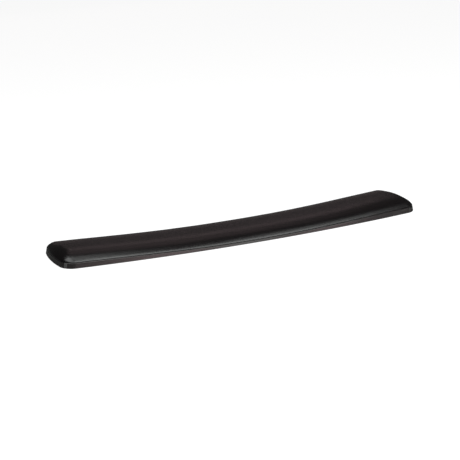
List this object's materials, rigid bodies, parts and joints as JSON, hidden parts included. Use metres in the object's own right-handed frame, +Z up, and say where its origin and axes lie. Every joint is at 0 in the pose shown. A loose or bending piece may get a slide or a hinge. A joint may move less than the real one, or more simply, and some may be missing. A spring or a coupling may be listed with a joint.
{
  "type": "wrist rest",
  "caption": "Keyboard wrist rest: a slim curved bar with a crowned leatherette gel pad on a dished plastic tray with rubber feet.",
  "frame": {"origin": "bottom centre of the overall bounding box, on the desk plane under the rubber feet", "axes": "+X along the bar to the typist's right, -Y towards the typist (the convex long side), +Z up"},
  "size_m": [0.4842, 0.092, 0.0174],
  "materials": {
    "tray_plastic": "fine moulded texture, black",
    "leatherette": "black leatherette, fine grain, satin sheen",
    "carrier_plastic": "plain moulded sheet, grey",
    "gel": "soft gel, glossy",
    "film": "clear film",
    "hem_glue": "hot-melt adhesive",
    "foam_tape": "double-sided foam tape",
    "foot_rubber": "matt rubber, dark grey",
    "foot_adhesive": "adhesive disc"
  },
  "bodies": {
    "root": {"base_tray": "tray_plastic", "pad_carrier": "carrier_plastic", "gel_backing_film": "film", "gel_core": "gel", "gel_top_film": "film", "leatherette_cover": "leatherette", "hem_adhesive": "hem_glue", "pad_tape_left": "foam_tape", "pad_tape_centre": "foam_tape", "pad_tape_right": "foam_tape", "foot_front_left": "foot_rubber", "foot_front_centre": "foot_rubber", "foot_front_right": "foot_rubber", "foot_rear_left": "foot_rubber", "foot_rear_centre": "foot_rubber", "foot_rear_right": "foot_rubber", "foot_tape_front_left": "foot_adhesive", "foot_tape_front_centre": "foot_adhesive", "foot_tape_front_right": "foot_adhesive", "foot_tape_rear_left": "foot_adhesive", "foot_tape_rear_centre": "foot_adhesive", "foot_tape_rear_right": "foot_adhesive"}
  },
  "joints": []
}
